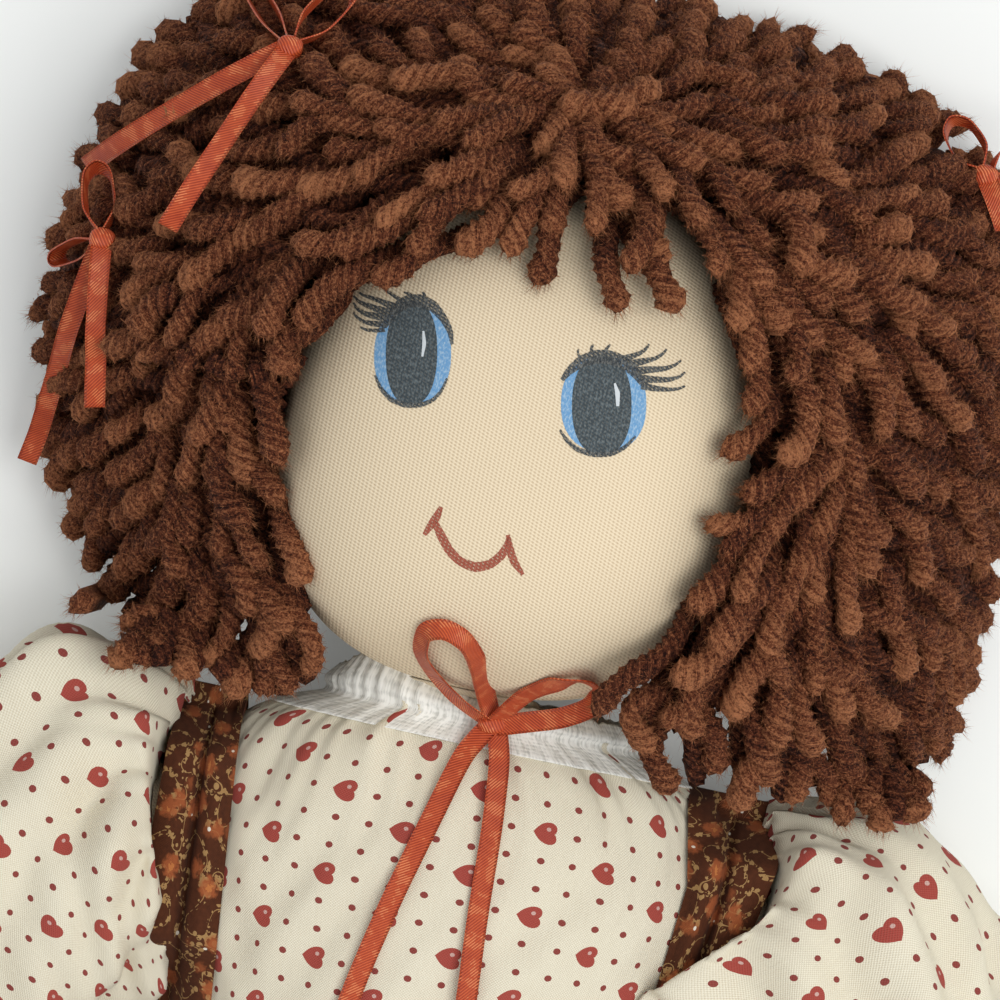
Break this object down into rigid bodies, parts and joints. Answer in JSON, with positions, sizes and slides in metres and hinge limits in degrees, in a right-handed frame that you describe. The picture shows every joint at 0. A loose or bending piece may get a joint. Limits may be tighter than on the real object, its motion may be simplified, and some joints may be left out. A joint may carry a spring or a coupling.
{
  "type": "rag doll",
  "caption": "Stuffed cloth doll with yarn hair, ribbon bows, a heart-print dress and a calico pinafore, lying on its back; head, arms and legs move.",
  "frame": {"origin": "on the surface that the doll lies on, under the middle of its box", "axes": "+X to the doll's own left, +Y to the top of its head, +Z out of its front"},
  "size_m": [0.3376, 0.5808, 0.1132],
  "materials": {
    "knit": "matt fine knit",
    "filling": "loose fibre",
    "heart_print": "matt printed cotton",
    "calico": "matt printed cotton",
    "white_tape": "sheer crinkled tape",
    "white_cotton": "matt cotton",
    "boot_cloth": "matt felt",
    "yarn": "fuzzy plied yarn",
    "ribbon": "satin"
  },
  "bodies": {
    "torso": {"torso_skin": "knit", "torso_stuffing": "filling", "hip_seam_left": "knit", "hip_seam_right": "knit", "dress_bodice": "heart_print", "dress_skirt": "heart_print", "neck_tape": "white_tape", "strap_left": "calico", "strap_right": "calico", "waistband": "calico", "pinafore_skirt": "calico", "neck_bow_knot": "ribbon", "neck_bow_loop_left": "ribbon", "neck_bow_loop_right": "ribbon", "neck_bow_tail_left": "ribbon", "neck_bow_tail_right": "ribbon"},
    "neck": {"neck_tube": "knit"},
    "head": {"head_skin": "knit", "head_stuffing": "filling", "hair_left": "yarn", "hair_right": "yarn", "hair_crown": "yarn", "hair_back": "yarn", "hair_bow_top_right_knot": "ribbon", "hair_bow_top_right_loop_a": "ribbon", "hair_bow_top_right_loop_b": "ribbon", "hair_bow_top_right_tail_a": "ribbon", "hair_bow_top_right_tail_b": "ribbon", "hair_bow_side_right_knot": "ribbon", "hair_bow_side_right_loop_a": "ribbon", "hair_bow_side_right_loop_b": "ribbon", "hair_bow_side_right_tail_a": "ribbon", "hair_bow_side_right_tail_b": "ribbon", "hair_bow_top_left_knot": "ribbon", "hair_bow_top_left_loop_a": "ribbon", "hair_bow_top_left_loop_b": "ribbon", "hair_bow_top_left_tail_a": "ribbon", "hair_bow_top_left_tail_b": "ribbon"},
    "arm_left": {"arm_skin_left": "knit", "arm_stuffing_left": "filling", "sleeve_left": "heart_print"},
    "leg_left": {"leg_skin_left": "knit", "leg_stuffing_left": "filling", "drawers_leg_left": "white_cotton", "boot_left": "boot_cloth"},
    "arm_right": {"arm_skin_right": "knit", "arm_stuffing_right": "filling", "sleeve_right": "heart_print"},
    "leg_right": {"leg_skin_right": "knit", "leg_stuffing_right": "filling", "drawers_leg_right": "white_cotton", "boot_right": "boot_cloth"}
  },
  "joints": [
    {"name": "neck_nod", "type": "hinge", "parent": "torso", "child": "neck", "pos_m": [-0.003, 0.11854, 0.035], "axis": [1, 0, 0], "range_deg": [-20, 4], "deforming": ["neck_tube", "neck_bow_loop_left", "neck_bow_loop_right"]},
    {"name": "head_turn", "type": "hinge", "parent": "neck", "child": "head", "pos_m": [-0.003, 0.11854, 0.035], "axis": [0, 1, 0], "range_deg": [-45, 45], "deforming": ["neck_tube"]},
    {"name": "shoulder_left", "type": "hinge", "parent": "torso", "child": "arm_left", "pos_m": [0.06752, 0.07748, 0.0291], "axis": [-0.9781, 0.2079, 0], "range_deg": [-30, 110]},
    {"name": "shoulder_right", "type": "hinge", "parent": "torso", "child": "arm_right", "pos_m": [-0.06752, 0.07748, 0.0291], "axis": [-0.9781, -0.2079, 0], "range_deg": [-30, 110]},
    {"name": "hip_left", "type": "hinge", "parent": "torso", "child": "leg_left", "pos_m": [0.031, -0.05206, 0.0291], "axis": [-1, 0, 0], "range_deg": [-15, 85], "deforming": ["dress_skirt", "pinafore_skirt"]},
    {"name": "hip_right", "type": "hinge", "parent": "torso", "child": "leg_right", "pos_m": [-0.031, -0.05206, 0.0291], "axis": [-1, 0, 0], "range_deg": [-15, 85], "deforming": ["dress_skirt", "pinafore_skirt"]}
  ]
}
